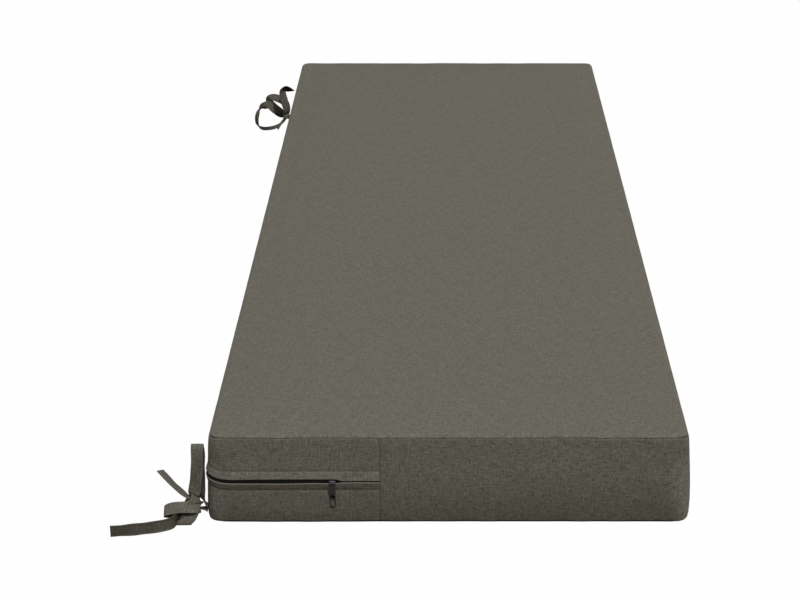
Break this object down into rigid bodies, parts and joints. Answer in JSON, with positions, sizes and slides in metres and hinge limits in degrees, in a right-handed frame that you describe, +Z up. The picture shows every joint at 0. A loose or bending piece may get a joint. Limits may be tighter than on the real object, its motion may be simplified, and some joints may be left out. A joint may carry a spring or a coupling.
{
  "type": "bench cushion",
  "caption": "Long rectangular bench cushion with a crowned top, boxed sides, a wrap-round zip panel and tape bow ties along one long side.",
  "frame": {"origin": "on the ground under the middle of the cushion's base", "axes": "+Y along the cushion's length with the zip's closed end and slider at -Y, +Z up through its thickness, and both ties and the zip on the -X side"},
  "size_m": [0.608, 1.5446, 0.1065],
  "materials": {
    "panel_cloth": "heathered grey-brown linen-look weave, matt",
    "zip_panel_cloth": "heathered grey-brown linen-look weave, matt, with top-stitched flaps",
    "boxing_cloth": "heathered grey-brown linen-look weave, matt",
    "zip_black": "black woven zip tape with a closed nylon coil",
    "slider_metal": "gunmetal, satin",
    "pull_metal": "gunmetal, satin, a little worn at its edges",
    "tape_cloth": "flat folded tape in the cover's own cloth"
  },
  "bodies": {
    "root": {"cushion": "panel_cloth", "boxing_plain": "boxing_cloth", "zip_panel_upper": "zip_panel_cloth", "zip_panel_lower": "zip_panel_cloth", "zip_tape": "zip_black", "zip_slider": "slider_metal", "zip_pull": "pull_metal", "tie_front": "tape_cloth", "tie_back": "tape_cloth"}
  },
  "joints": []
}
